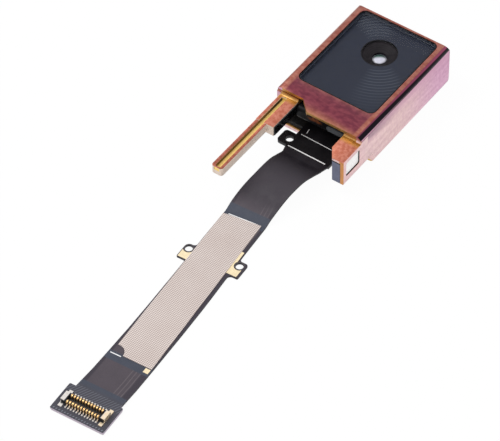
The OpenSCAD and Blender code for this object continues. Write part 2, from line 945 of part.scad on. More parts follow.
module flex_circuit() {
    ramp_start = plate_start - ramp_len;
    color([0.28, 0.26, 0.29])
        union() {
            exit_flat();
            bend_sweep();
            on_run() {
                linear_extrude(flex_t)
                    difference() {
                        union() {
                            run_outline(0, ramp_start);
                            ears();
                        }
                        translate(left_hole)
                            circle(ear_hole_r);
                        translate(right_hole)
                            circle(ear_hole_r);
                    }
                // Ramp up to the end plate
                intersection() {
                    across(-ribbon_w, ribbon_w)
                        polygon([
                            [-ramp_start, 0], [-ramp_start, flex_t],
                            [-plate_start, flex_t + plate_stiffener_t],
                            [-plate_start, plate_stiffener_t]
                        ]);
                    linear_extrude(flex_t + plate_stiffener_t)
                        run_outline(ramp_start, plate_start);
                }
                translate([0, 0, plate_stiffener_t])
                    linear_extrude(flex_t)
                        end_plate_outline();
            }
        }
}

// The tape seen from above: a little askew, with one corner cut round
module tape_outline() {
    notch_r = 1.1;
    top_slope = 0.5;
    left_x = 0.02 - edge_at(0, -1);
    drift = tape_len * tan(tape_skew);
    difference() {
        polygon([
            [left_x, -top_slope], [left_x + tape_w, 0],
            [left_x + tape_w + tape_flare + drift, -tape_len],
            [left_x + drift, -tape_len]
        ]);
        translate([left_x + drift + 0.2, -tape_len])
            circle(notch_r);
    }
}

// Woven conductive tape
module ground_tape() {
    color([0.78, 0.74, 0.73])
        on_run()
            translate([0, 0, flex_t])
                linear_extrude(tape_t)
                    tape_outline();
}

// Gilded copper left bare on the ears beside the tape, and a test pad below it
module ground_pads() {
    test_pad = 0.62;
    pad_right = edge_at(tape_len, 1) - 0.17;
    color([0.93, 0.82, 0.55])
        on_run()
            translate([0, 0, flex_t])
                linear_extrude(pad_t)
                    union() {
                        ear_pad(left_hole, -1, 0);
                        ear_pad(right_hole, 1, 1.9);
                        block2([pad_right - test_pad, -tape_len - 0.1 - test_pad],
                               [pad_right, -tape_len - 0.1]);
                    }
}

// Bare metal of one ear, inside a dark border and outside the ring
module ear_pad(hole, side, above) {
    border = 0.1;
    low_y = hole[1] - ear_len + border;
    top_y = hole[1] + above;
    reach = hole[0] * side + ear_r - 0.15;
    difference() {
        scale([side, 1])
            polygon([
                [0, top_y], [edge_at(-top_y, side) - border, top_y],
                [edge_at(-hole[1], side) - border, hole[1]],
                [reach, hole[1]], [reach, low_y], [0, low_y]
            ]);
        tape_outline();
        translate(hole)
            circle(ear_r);
    }
}

// ---------- board connector ----------

// Places its children at the middle of the connector, on top of the flex
module on_plate() {
    on_run()
        translate([end_plate_shift, -connector_at, connector_z])
            children();
}

module connector_stiffener() {
    color([0.6, 0.6, 0.62])
        on_run()
            linear_extrude(plate_stiffener_t)
                translate([end_plate_shift, -plate_mid])
                    round_rect(end_plate_w - 0.1, end_plate_len - 0.1, 0.15);
}

module connector_housing() {
    wall_h = connector_h - contact_t;
    color([0.05, 0.05, 0.05])
        on_plate()
            difference() {
                union() {
                    translate([0, 0, connector_base_h / 2])
                        cube([connector_len - 2 * contact_t, connector_base_w, connector_base_h],
                             center = true);
                    for (side = [-1, 1])
                        translate([0, side * wall_span / 2, wall_h / 2])
                            cube([row_len + 0.5, contact_wall, wall_h], center = true);
                    for (side = [-1, 1])
                        translate([side * (connector_len / 2 - contact_t - holddown_len / 2), 0, wall_h / 2])
                            cube([holddown_len, wall_span + contact_wall, wall_h], center = true);
                }
                // Each contact lies in the base in a slot of its own width
                contact_slots();
            }
}

module contact_slots() {
    slot_y = wall_span / 2 + contact_wall / 2;
    for (i = [0:contact_count - 1], side = [-1, 1])
        translate([contact_at(i) - contact_w / 2, side > 0 ? slot_y : -slot_y - cut, -cut])
            cube([contact_w, cut, cut + connector_base_h + weld]);
}

function contact_at(i) = (i - (contact_count - 1) / 2) * contact_pitch;

// One contact: a bow over its wall, and a tail on the flex outside it
module contact_profile() {
    outer_r = contact_wall / 2 + contact_t;
    bow_top = connector_h - contact_t;
    inner_leg_z = 0.2;
    tail = 0.4;
    difference() {
        union() {
            translate([0, connector_h - outer_r])
                circle(outer_r);
            block2([-outer_r, inner_leg_z], [outer_r, connector_h - outer_r]);
        }
        block2([-contact_wall / 2, 0], [contact_wall / 2, bow_top]);
    }
    block2([contact_wall / 2, 0], [outer_r, inner_leg_z + weld]);
    block2([contact_wall / 2, 0], [outer_r + tail, contact_t]);
}

module connector_contacts() {
    color([0.85, 0.68, 0.35])
        on_plate()
            for (i = [0:contact_count - 1], side = [-1, 1])
                translate([contact_at(i), side * wall_span / 2, 0])
                    scale([1, side, 1])
                        across(-contact_w / 2, contact_w / 2)
                            contact_profile();
}

// Metal caps over both ends, each with two feet soldered to the flex
module connector_holddowns() {
    foot = 0.45;
    foot_reach = 0.45;
    foot_h = 0.12;
    lip = 0.08;
    cap_w = wall_span + contact_wall;
    top_z = connector_h - contact_t;
    color([0.85, 0.83, 0.78])
        on_plate()
            for (side = [-1, 1])
                scale([side, 1, 1])
                    union() {
                        block([connector_len / 2 - contact_t - holddown_len + lip, -cap_w / 2, top_z],
                              [connector_len / 2, cap_w / 2, top_z + contact_t]);
                        block([connector_len / 2 - contact_t, -cap_w / 2, 0],
                              [connector_len / 2, cap_w / 2, top_z + weld]);
                        for (y = [-1, 1])
                            scale([1, y, 1])
                                block([connector_len / 2 - foot, connector_base_w / 2, 0],
                                      [connector_len / 2, connector_base_w / 2 + foot_reach, foot_h]);
                        for (y = [-1, 1])
                            scale([1, y, 1])
                                block([connector_len / 2 - contact_t, cap_w / 2 - weld, 0],
                                      [connector_len / 2, connector_base_w / 2 + weld, foot_h]);
                    }
}

// ---------- parts ----------

housing();
window_glass();
pattern_film();
window_adhesive();
lens_gasket();
lens_barrel();
lens_element_1();
lens_element_2();
lens_element_3();
lens_element_4();
lens_spacers();
lens_holder();
ir_filter();
image_sensor();
sensor_board();
board_stiffener();
rear_foam();
capacitors();
memory_chip();
bottom_cap();
cap_pad();
hall_magnet();
glide_pad();
arm_liner();
flex_circuit();
exit_stiffener();
ground_tape();
ground_pads();
connector_stiffener();
connector_housing();
connector_contacts();
connector_holddowns();
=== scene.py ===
import math

import bmesh
import bpy
from mathutils import Matrix, Vector


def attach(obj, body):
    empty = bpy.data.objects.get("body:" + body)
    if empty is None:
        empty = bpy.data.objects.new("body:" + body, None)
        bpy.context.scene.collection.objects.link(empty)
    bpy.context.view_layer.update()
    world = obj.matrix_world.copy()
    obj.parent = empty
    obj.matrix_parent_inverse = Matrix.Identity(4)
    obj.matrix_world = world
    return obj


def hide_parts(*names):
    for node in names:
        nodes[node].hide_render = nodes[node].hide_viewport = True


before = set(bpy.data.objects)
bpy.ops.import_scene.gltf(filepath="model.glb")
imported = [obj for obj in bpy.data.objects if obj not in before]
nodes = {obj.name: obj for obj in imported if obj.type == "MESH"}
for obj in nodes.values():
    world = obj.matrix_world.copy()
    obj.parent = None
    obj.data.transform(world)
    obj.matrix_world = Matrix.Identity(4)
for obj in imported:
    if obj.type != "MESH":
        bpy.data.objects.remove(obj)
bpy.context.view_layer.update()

MM = 0.001


# ---------- camera, floor and light ----------

# The photograph's viewing angle: azimuth, elevation and roll in degrees
AZIMUTH, ELEVATION, ROLL = 37.10, 48.00, -1.61
# Focal length for a 36 mm wide sensor, and the camera's place
LENS = 217.97
CAMERA_AT = Vector((135.794, -204.963, 250.089)) * MM

# Half side of the square floor, and how far it lies under the part
FLOOR_HALF = 3.0
FLOOR_DROP = 0.02 * MM
# What the floor gives back, and the share of plain white that is seen of it
FLOOR_GREY = (0.88, 0.88, 0.88)
FLOOR_WHITE = 0.96
# Strength of the world as light, and of the world as it is seen
WORLD_LIGHT = 0.85
WORLD_SEEN = 1


def make_camera():
    """The camera of the photograph, aimed by its angles."""
    a, e, r = (math.radians(v) for v in (AZIMUTH, ELEVATION, ROLL))
    back = Vector((math.sin(a) * math.cos(e), -math.cos(a) * math.cos(e), math.sin(e)))
    right = Vector((math.cos(a), math.sin(a), 0))
    up = back.cross(right)
    right_rolled = right * math.cos(r) + up * math.sin(r)
    up_rolled = up * math.cos(r) - right * math.sin(r)
    data = bpy.data.cameras.new("camera")
    data.lens = LENS
    data.sensor_width = 36
    data.clip_start, data.clip_end = 0.01, 10
    camera = bpy.data.objects.new("camera", data)
    bpy.context.scene.collection.objects.link(camera)
    turn = Matrix((right_rolled, up_rolled, back)).transposed()
    camera.matrix_world = Matrix.Translation(CAMERA_AT) @ turn.to_4x4()
    bpy.context.scene.camera = camera


def make_floor():
    """A wide square just under the part."""
    mesh = bpy.data.meshes.new("floor")
    signs = ((-1, -1), (1, -1), (1, 1), (-1, 1))
    corners = [(i * FLOOR_HALF, j * FLOOR_HALF, -FLOOR_DROP) for i, j in signs]
    mesh.from_pydata(corners, [], [(0, 1, 2, 3)])
    floor = bpy.data.objects.new("floor", mesh)
    bpy.context.scene.collection.objects.link(floor)
    floor.data.materials.append(floor_material())


def floor_material():
    """Diffuse for the light it gives back, and nearly plain white where the camera sees it."""
    material = bpy.data.materials.new("pale_floor")
    material.use_nodes = True
    tree = material.node_tree
    bsdf = tree.nodes["Principled BSDF"]
    bsdf.inputs["Base Color"].default_value = (*FLOOR_GREY, 1)
    bsdf.inputs["Roughness"].default_value = 0.9
    white = tree.nodes.new("ShaderNodeEmission")
    path = tree.nodes.new("ShaderNodeLightPath")
    seen = tree.nodes.new("ShaderNodeMath")
    seen.operation = "MAXIMUM"
    share = tree.nodes.new("ShaderNodeMath")
    share.operation = "MULTIPLY"
    share.inputs[1].default_value = FLOOR_WHITE
    mix = tree.nodes.new("ShaderNodeMixShader")
    link = tree.links.new
    link(path.outputs["Is Camera Ray"], seen.inputs[0])
    link(path.outputs["Is Glossy Ray"], seen.inputs[1])
    link(seen.outputs[0], share.inputs[0])
    link(share.outputs[0], mix.inputs["Fac"])
    link(bsdf.outputs[0], mix.inputs[1])
    link(white.outputs[0], mix.inputs[2])
    link(mix.outputs[0], tree.nodes["Material Output"].inputs["Surface"])
    return material


def make_world():
    """Even light from all sides, seen as plain white."""
    world = bpy.data.worlds.new("studio")
    world.use_nodes = True
    tree = world.node_tree
    tree.nodes.clear()
    output = tree.nodes.new("ShaderNodeOutputWorld")
    light = tree.nodes.new("ShaderNodeBackground")
    seen = tree.nodes.new("ShaderNodeBackground")
    mix = tree.nodes.new("ShaderNodeMixShader")
    path = tree.nodes.new("ShaderNodeLightPath")
    camera_or_glossy = tree.nodes.new("ShaderNodeMath")
    camera_or_glossy.operation = "MAXIMUM"
    shown = tree.nodes.new("ShaderNodeMath")
    shown.operation = "MAXIMUM"
    light.inputs["Color"].default_value = (1, 1, 1, 1)
    light.inputs["Strength"].default_value = WORLD_LIGHT
    seen.inputs["Color"].default_value = (1, 1, 1, 1)
    seen.inputs["Strength"].default_value = WORLD_SEEN
    link = tree.links.new
    link(path.outputs["Is Camera Ray"], camera_or_glossy.inputs[0])
    link(path.outputs["Is Glossy Ray"], camera_or_glossy.inputs[1])
    link(camera_or_glossy.outputs[0], shown.inputs[0])
    link(path.outputs["Is Transmission Ray"], shown.inputs[1])
    link(shown.outputs[0], mix.inputs["Fac"])
    link(light.outputs[0], mix.inputs[1])
    link(seen.outputs[0], mix.inputs[2])
    link(mix.outputs[0], output.inputs["Surface"])
    bpy.context.scene.world = world


def make_lamp(name, at, size, power):
    """A round lamp aimed at the middle of the part."""
    data = bpy.data.lights.new(name, "AREA")
    data.shape = "DISK"
    data.size = size
    data.energy = power
    lamp = bpy.data.objects.new(name, data)
    bpy.context.scene.collection.objects.link(lamp)
    lamp.location = at
    aim = Vector((0, -0.02, 0)) - Vector(at)
    lamp.rotation_mode = "QUATERNION"
    lamp.rotation_quaternion = aim.to_track_quat("-Z", "Y")


def make_stage():
    """Camera, floor and light."""
    make_camera()
    make_floor()
    make_world()
    make_lamp("key", (-0.35, -0.15, 0.6), 0.35, 1.6)
    make_lamp("fill", (0.5, -0.35, 0.45), 0.5, 0.7)
    bpy.context.scene.view_settings.view_transform = "Standard"


# ---------- material helpers ----------

class Paint:
    """A node material with one Principled shader, and short calls to build on it."""

    def __init__(self, name, color, roughness=0.5, metallic=0.0, **values):
        self.material = bpy.data.materials.new(name)
        self.material.use_nodes = True
        self.tree = self.material.node_tree
        self.shader = self.tree.nodes["Principled BSDF"]
        self.set("Base Color", (*color, 1))
        self.set("Roughness", roughness)
        self.set("Metallic", metallic)
        for key, value in values.items():
            self.set(key.replace("_", " "), value)
        self.place = self.add("ShaderNodeTexCoord").outputs["Object"]

    def set(self, socket, value):
        self.shader.inputs[socket].default_value = value

    def add(self, kind, **settings):
        node = self.tree.nodes.new(kind)
        for key, value in settings.items():
            setattr(node, key, value)
        return node

    def link(self, out, socket):
        self.tree.links.new(out, socket)

    def feed(self, out, socket):
        self.link(out, self.shader.inputs[socket])

    def math(self, kind, a, b=0.0, clamp=False):
        node = self.add("ShaderNodeMath", operation=kind, use_clamp=clamp)
        for socket, value in zip(node.inputs, (a, b)):
            if isinstance(value, (int, float)):
                socket.default_value = value
            else:
                self.link(value, socket)
        return node.outputs[0]

    def noise(self, scale, detail=3.0, stretch=(1, 1, 1), roughness=0.5):
        mapping = self.add("ShaderNodeMapping")
        mapping.inputs["Scale"].default_value = [scale * s for s in stretch]
        self.link(self.place, mapping.inputs["Vector"])
        node = self.add("ShaderNodeTexNoise")
        node.inputs["Scale"].default_value = 1
        node.inputs["Detail"].default_value = detail
        node.inputs["Roughness"].default_value = roughness
        self.link(mapping.outputs[0], node.inputs["Vector"])
        return node.outputs["Fac"]

    def span(self, value, low, high, to_low=0.0, to_high=1.0):
        node = self.add("ShaderNodeMapRange", interpolation_type="SMOOTHSTEP")
        for name, number in (("From Min", low), ("From Max", high),
                             ("To Min", to_low), ("To Max", to_high)):
            node.inputs[name].default_value = number
        self.link(value, node.inputs["Value"])
        return node.outputs["Result"]

    def mix(self, factor, first, second):
        node = self.add("ShaderNodeMix", data_type="RGBA")
        for socket, value in ((node.inputs[0], factor), (node.inputs[6], first),
                              (node.inputs[7], second)):
            if isinstance(value, tuple):
                socket.default_value = (*value, 1)
            elif isinstance(value, (int, float)):
                socket.default_value = value
            else:
                self.link(value, socket)
        return node.outputs[2]

    def darken(self, color, tone):
        """One colour multiplied by another."""
        node = self.add("ShaderNodeMix", data_type="RGBA", blend_type="MULTIPLY")
        node.inputs[0].default_value = 1
        self.link(color, node.inputs[6])
        self.link(tone, node.inputs[7])
        return node.outputs[2]

    def axes(self, vector=None):
        node = self.add("ShaderNodeSeparateXYZ")
        self.link(vector or self.place, node.inputs[0])
        return node.outputs

    def normal(self):
        return self.axes(self.add("ShaderNodeNewGeometry").outputs["Normal"])

    def bump(self, height, distance, strength=1.0):
        node = self.add("ShaderNodeBump")
        node.inputs["Distance"].default_value = distance
        node.inputs["Strength"].default_value = strength
        self.link(height, node.inputs["Height"])
        self.feed(node.outputs[0], "Normal")


def frame_of_run(paint):
    """(distance along the flat run from the landing, distance across it) as sockets."""
    x, y, _ = paint.axes()
    c, n = math.cos(RUN_YAW), math.sin(RUN_YAW)
    dx = paint.math("SUBTRACT", x, LANDING[0])
    dy = paint.math("SUBTRACT", y, LANDING[1])
    across = paint.math("ADD", paint.math("MULTIPLY", dx, c), paint.math("MULTIPLY", dy, n))
    along = paint.math("SUBTRACT", paint.math("MULTIPLY", dx, n), paint.math("MULTIPLY", dy, c))
    return along, across


def grained(name, color, roughness=0.5, metallic=0.0, scale=3000, depth=0.000004,
            vary=0.12, **values):
    """A plain finish with a fine grain: mottled colour, uneven gloss, slight relief."""
    paint = Paint(name, color, roughness, metallic, **values)
    grain = paint.noise(scale)
    dark = tuple(c * (1 - vary) for c in color)
    light = tuple(min(1, c * (1 + vary)) for c in color)
    paint.feed(paint.mix(grain, dark, light), "Base Color")
    gloss = (roughness * 0.85, min(1, roughness * 1.15))
    paint.feed(paint.span(grain, 0.3, 0.7, *gloss), "Roughness")
    paint.bump(grain, depth)
    return paint.material


def dress(node, material):
    """Give every material slot of a CAD node this material."""
    piece = nodes[node]
    if not piece.material_slots:
        piece.data.materials.append(material)
    for slot in piece.material_slots:
        slot.material = material


def srgb(r, g, b):
    """Linear colour of an 8-bit display colour."""
    return tuple(c / 255 / 12.92 if c <= 10 else ((c / 255 + 0.055) / 1.055) ** 2.4
                 for c in (r, g, b))


# ---------- sizes shared with the solids ----------

LIMB_TOP = 5.2 * MM
MOUTH_Y = -11.35 * MM
# Sides and heights of the arm's groove, a hair wider than it is
GROOVE_X = (-5.31 * MM, -4.59 * MM)
GROOVE_Z = (4.6 * MM, 5.08 * MM)
# Hollow of the shell, as far as its bare metal goes
HOLLOW_HALF_W = 5.64 * MM
HOLLOW_Y = (-11.45 * MM, 4.4 * MM)
HOLLOW_Z = (0.4 * MM, 5.58 * MM)
# Front edge of the mouth, with its bevel
LIP_Y = -11.25 * MM
LIP_Z = (5.2 * MM, 6.12 * MM)
# Recess behind the pad in the side of the leg
RECESS_X = (5.9 * MM, 6.25 * MM)
RECESS_Y = (-15.8 * MM, -13.0 * MM)
RECESS_Z = (2.5 * MM, 4.7 * MM)
# Gilded heel at the rear face, beside the mouth
HEEL_Y = (-10.6 * MM, -9.6 * MM)
FLEX_T = 0.22 * MM
LANDING = (-0.21 * MM, -25.65 * MM)
RUN_YAW = math.radians(3.9)


# Half the width of the soft edge of a mask
SOFT = 0.03 * MM


def between(paint, value, low, high, soft=SOFT):
    """One where value lies between low and high, with a soft edge."""
    rise = paint.span(value, low - soft, low + soft)
    fall = paint.span(value, high - soft, high + soft, 1, 0)
    return paint.math("MULTIPLY", rise, fall)


def all_of(paint, *masks):
    """One where all the masks are one."""
    result = masks[0]
    for mask in masks[1:]:
        result = paint.math("MULTIPLY", result, mask)
    return result


# ---------- housing ----------

def front_colors(paint, x, y, z, nx, nz):
    """Front face: wine red apron and copper rims, pale sides with a painted reflection, and on the
    right long edge a painted dark reflection and a painted highlight.
    """
    mottle = paint.span(paint.noise(2400, 5, (0.6, 1, 1)), 0.32, 0.68)
    wine = paint.mix(mottle, srgb(108, 46, 62), srgb(134, 64, 76))
    copper = paint.mix(mottle, srgb(150, 84, 72), srgb(172, 112, 98))
    rim = paint.math("MAXIMUM", paint.span(paint.math("ABSOLUTE", x), 0.0050, 0.0053),
                     paint.span(y, 0.0040, 0.0046))
    face = paint.mix(rim, wine, copper)
    # The sides are pale pink and mauve, partly their own finish and partly a painted reflection of
    # the bright surroundings.
    side_far = paint.span(y, -0.006, 0.004)
    blush = paint.span(paint.noise(2400, 4), 0.35, 0.65)
    pink = paint.mix(blush, srgb(236, 202, 200), srgb(224, 186, 190))
    mauve = paint.mix(blush, srgb(218, 168, 196), srgb(206, 152, 184))
    side = paint.mix(side_far, pink, mauve)
    side = paint.mix(paint.span(z, 0.0036, 0.0056, 0, 0.8), side, srgb(206, 150, 178))
    level = paint.math("ABSOLUTE", nz)
    dark_to = paint.span(y, -0.012, 0.004, 0.9, 0.76)
    upper = paint.span(z, 0.0030, 0.0040)
    # A painted reflection of dark surroundings: the upper turn of the right long edge is painted
    # near black, while the left one stays copper.
    right = paint.math("MULTIPLY", paint.span(nx, 0.15, 0.35), upper)
    turn = paint.mix(right, copper, srgb(20, 12, 22))
    turn = paint.mix(upper, side, turn)
    color = paint.mix(paint.span(level, 0.08, 0.24), side, turn)
    # A painted highlight in mauve along the right long edge, where its turn meets the face.
    past = paint.math("SUBTRACT", level, dark_to)
    edge_highlight = paint.math("MULTIPLY", right, paint.span(past, -0.03, 0.03))
    color = paint.mix(edge_highlight, color, srgb(140, 64, 92))
    return paint.mix(paint.math("MULTIPLY", paint.span(level, 0.95, 0.995), upper), color, face)


def limb_colors(paint, x, y, z, nz):
    """Arm, block and leg: salmon tops that turn gold at the mouth, beige and pink sides made paler
    by a painted reflection.
    """
    mottle = paint.span(paint.noise(2600, 4), 0.34, 0.66)
    salmon = paint.mix(mottle, srgb(182, 104, 82), srgb(206, 132, 112))
    red = paint.mix(mottle, srgb(152, 84, 64), srgb(180, 106, 90))
    tops = paint.mix(between(paint, z, 0.00500, 0.00515, 0.00001), salmon, red)
    gold = paint.mix(paint.noise(500, 2), srgb(196, 140, 62), srgb(214, 164, 84))
    tops = paint.mix(paint.span(y, MOUTH_Y - 0.0011, MOUTH_Y - 0.0003), tops, gold)
    leg_gold = all_of(paint, paint.span(y, -0.0138, -0.0130), paint.span(x, 0.003, 0.0032))
    tops = paint.mix(leg_gold, tops, gold)
    # Pale beige and pink sides, partly their own finish and partly a painted reflection of the
    # bright floor.
    beige = paint.mix(paint.noise(900, 3, (1, 0.2, 1)), srgb(236, 220, 206), srgb(214, 194, 178))
    pink = paint.mix(mottle, srgb(236, 202, 200), srgb(224, 186, 190))
    sides = paint.mix(paint.span(x, 0, 0.001), beige, pink)
    tip = all_of(paint, paint.span(y, -0.01626, -0.01620, 1, 0), paint.span(x, 0.0057, 0.0058))
    sides = paint.mix(tip, sides, srgb(204, 142, 84))
    return paint.mix(paint.span(nz, 0.6, 0.9), sides, tops)


def groove_mask(paint, x, y, z):
    """One on the walls and the floor of the arm's groove."""
    inside = between(paint, x, *GROOVE_X, 0.00001)
    return all_of(paint, inside, between(paint, z, *GROOVE_Z, 0.00001),
                  paint.span(y, MOUTH_Y, MOUTH_Y + 0.0001, 1, 0))


def bare_mask(paint, x, y, z, nz):
    """Inside of the shell, the bevel of the mouth and the edge of its front wall."""
    from_axis = paint.math("ABSOLUTE", x)
    within = all_of(paint, paint.span(from_axis, HOLLOW_HALF_W, HOLLOW_HALF_W + 0.00006, 1, 0),
                    between(paint, z, *HOLLOW_Z), between(paint, y, *HOLLOW_Y))
    lip = all_of(paint, between(paint, z, *LIP_Z), paint.span(y, LIP_Y - SOFT, LIP_Y + SOFT, 1, 0),
                 paint.span(nz, 0.93, 0.985, 1, 0), paint.span(from_axis, 0.0055, 0.0056, 1, 0))
    return paint.math("MAXIMUM", within, lip, True)


def housing_material():
    """Anodised metal, coloured by heat and wear, with painted reflections on its sides and edges,
    painted shade in the arm's groove and the leg's recess, and bare gold where it is cut.
    """
    paint = Paint("coloured_metal", srgb(133, 64, 82), 0.32, 0.85)
    x, y, z = paint.axes()
    nx, _, nz = paint.normal()
    color = front_colors(paint, x, y, z, nx, nz)
    low = all_of(paint, paint.span(z, LIMB_TOP + 0.0001, LIMB_TOP + 0.0003, 1, 0),
                 paint.span(y, -0.0116, -0.0114, 1, 0))
    color = paint.mix(low, color, limb_colors(paint, x, y, z, nz))
    gold = paint.mix(paint.noise(600, 3), srgb(206, 160, 96), srgb(160, 112, 60))
    color = paint.mix(bare_mask(paint, x, y, z, nz), color, gold)
    # Painted shade on the groove's walls: olive, going to a painted near-black shadow towards the
    # mouth; the floor is bare gold.
    wall = paint.mix(paint.span(y, -0.0156, -0.0128), srgb(104, 76, 30), srgb(34, 22, 12))
    floor = paint.mix(paint.span(x, -0.00528, -0.00520), wall, srgb(240, 204, 118))
    color = paint.mix(groove_mask(paint, x, y, z), color, floor)
    # Painted shade: the recess behind the pad is painted near black.
    recess = all_of(paint, between(paint, x, *RECESS_X), between(paint, y, *RECESS_Y),
                    between(paint, z, *RECESS_Z))
    color = paint.mix(recess, color, srgb(24, 18, 20))
    heel = all_of(paint, paint.span(z, 0.00022, 0.0003, 1, 0), between(paint, y, *HEEL_Y),
                   paint.span(x, 0.0051, 0.0053))
    color = paint.mix(heel, color, srgb(214, 176, 104))
    streaks = paint.noise(1500, 3, (1, 0.06, 1))
    paint.feed(paint.mix(paint.span(streaks, 0.3, 0.7, 0.0, 0.1), color, (0, 0, 0)), "Base Color")
    pale = all_of(paint, paint.span(x, -0.0032, -0.0031, 1, 0), paint.span(nz, 0.5, 0.7, 1, 0),
                  paint.span(y, -0.0116, -0.0114, 1, 0))
    pale = paint.math("MAXIMUM", pale, groove_mask(paint, x, y, z))
    paint.feed(paint.math("SUBTRACT", 0.85, paint.math("MULTIPLY", pale, 0.65)), "Metallic")
    paint.feed(paint.span(streaks, 0.25, 0.75, 0.3, 0.46), "Roughness")
    paint.bump(streaks, 0.000003, 0.35)
    return paint.material


def edged_copy(node, width, segments=2, angle=28):
    """A copy of a CAD node with its flat faces joined and its edges rounded."""
    mesh = nodes[node].data.copy()
    work = bmesh.new()
    work.from_mesh(mesh)
    bmesh.ops.remove_doubles(work, verts=work.verts, dist=1e-7)
    bmesh.ops.dissolve_limit(work, angle_limit=math.radians(0.5), verts=work.verts,
                             edges=work.edges)
    work.to_mesh(mesh)
    work.free()
    piece = bpy.data.objects.new(node + "_body", mesh)
    bpy.context.scene.collection.objects.link(piece)
    bevel = piece.modifiers.new("edges", "BEVEL")
    bevel.width = width
    bevel.segments = segments
    bevel.limit_method = "ANGLE"
    bevel.angle_limit = math.radians(angle)
    bevel.use_clamp_overlap = True
    bevel.harden_normals = True
    mesh.shade_smooth()
    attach(piece, "root")
    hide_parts(node)
    return piece


def make_housing():
    """The shell with its arm and leg, its edges broken."""
    piece = edged_copy("housing", 0.00006)
    piece.data.materials.clear()
    piece.data.materials.append(housing_material())


# ---------- window and lens ----------

WINDOW_MID_Y = -2.3 * MM
WINDOW_HALF = (5.2 * MM, 6.75 * MM)
WINDOW_R = 0.8 * MM
# From one ring of the film to the next, and the film's opening with its black edge
RING_PITCH = 0.46 * MM
OPENING_R = (2.13 * MM, 2.15 * MM)
# Share of the light that the coating of the glass keeps from being reflected
COATING = 0.06


def length_of(paint, x, y):
    squares = (paint.math("MULTIPLY", x, x), paint.math("MULTIPLY", y, y))
    return paint.math("SQRT", paint.math("ADD", *squares))


def toward_viewer(paint, x, y):
    """Distance along the front face, toward the lower right of the module."""
    return paint.math("ADD", paint.math("MULTIPLY", x, 0.60), paint.math("MULTIPLY", y, -0.80))


def window_edge(paint):
    """Distance from the rounded outline of the window, negative inside it."""
    x, y, _ = paint.axes()
    reach_x = paint.math("SUBTRACT", paint.math("ABSOLUTE", x), WINDOW_HALF[0] - WINDOW_R)
    from_mid = paint.math("ABSOLUTE", paint.math("SUBTRACT", y, WINDOW_MID_Y))
    reach_y = paint.math("SUBTRACT", from_mid, WINDOW_HALF[1] - WINDOW_R)
    over_x = paint.math("MAXIMUM", reach_x, 0)
    over_y = paint.math("MAXIMUM", reach_y, 0)
    corner = length_of(paint, over_x, over_y)
    inside = paint.math("MINIMUM", paint.math("MAXIMUM", reach_x, reach_y), 0)
    return paint.math("SUBTRACT", paint.math("ADD", corner, inside), WINDOW_R)


def glass_material():
    """Clear coated glass: light passes straight through, and its ground sides are black."""
    paint = Paint("window_glass", srgb(9, 9, 11), 0.35, 0.0, Specular_IOR_Level=0.3)
    clear = paint.add("ShaderNodeBsdfTransparent")
    shine = paint.add("ShaderNodeBsdfGlossy")
    paint.link(paint.span(paint.noise(900), 0, 1, 0.02, 0.05), shine.inputs["Roughness"])
    fresnel = paint.add("ShaderNodeFresnel")
    fresnel.inputs["IOR"].default_value = 1.45
    # A face met from within lets all light out, so only the outer side reflects
    outer = paint.math("SUBTRACT", 1, paint.add("ShaderNodeNewGeometry").outputs["Backfacing"])
    # The coating takes away what little the glass would reflect when looked at steeply
    beyond = paint.math("SUBTRACT", fresnel.outputs[0], COATING, True)
    share = paint.math("MULTIPLY", outer, beyond)
    body = paint.add("ShaderNodeMixShader")
    paint.link(share, body.inputs["Fac"])
    paint.link(clear.outputs[0], body.inputs[1])
    paint.link(shine.outputs[0], body.inputs[2])
    _, _, z = paint.axes()
    # Low down, the ground sides carry a painted reflection of the film
    sides = paint.mix(paint.span(z, 0.00586, 0.00590), srgb(50, 55, 68), srgb(9, 9, 11))
    paint.feed(sides, "Base Color")
    whole = paint.add("ShaderNodeMixShader")
    paint.link(paint.span(window_edge(paint), -0.00009, -0.00007, 1, 0), whole.inputs["Fac"])
    paint.link(paint.shader.outputs[0], whole.inputs[1])
    paint.link(body.outputs[0], whole.inputs[2])
    paint.link(whole.outputs[0], paint.tree.nodes["Material Output"].inputs["Surface"])
    return paint.material


def make_glass():
    """The window, its edges broken and its rear face clear of the film by a hair."""
    piece = edged_copy("window_glass", 0.00005)
    gap = 0.00001
    for vertex in piece.data.vertices:
        vertex.co.x -= math.copysign(gap, vertex.co.x)
        vertex.co.y -= math.copysign(gap, vertex.co.y - WINDOW_MID_Y)
        if vertex.co.z < 0.0056:
            vertex.co.z += gap
    piece.data.materials.clear()
    piece.data.materials.append(glass_material())


def film_material():
    """Slate film with fine rings round the lens under a painted highlight, a black ring and a
    black border.
    """
    paint = Paint("window_film", srgb(44, 50, 64), 0.4, 0.0, Specular_IOR_Level=0.2)
    x, y, _ = paint.axes()
    radius = length_of(paint, x, y)
    wave = paint.math("SINE", paint.math("MULTIPLY", radius, 2 * math.pi / RING_PITCH))
    # A painted highlight: the rings are lit along one direction only, as on a disc
    ray = toward_viewer(paint, x, y)
    turn = paint.math("ABSOLUTE", paint.math("DIVIDE", ray, paint.math("MAXIMUM", radius, 0.0001)))
    fan = all_of(paint, paint.span(turn, 0.84, 0.98), paint.span(radius, 0.0022, 0.003),
                 paint.span(radius, 0.005, 0.0095, 1, 0.1))
    painted_reflection = all_of(paint, fan, paint.span(wave, 0.1, 0.95, 0.1, 1))
    base = paint.mix(paint.noise(120, 2), srgb(34, 38, 51), srgb(40, 44, 58))
    color = paint.mix(paint.math("MULTIPLY", painted_reflection, 0.32), base, srgb(92, 100, 112))
    black_ring = paint.span(radius, *OPENING_R, 1, 0)
    border = paint.span(window_edge(paint), -0.00013, -0.00010)
    color = paint.mix(paint.math("MAXIMUM", black_ring, border), color, srgb(9, 9, 11))
    paint.feed(color, "Base Color")
    return paint.material


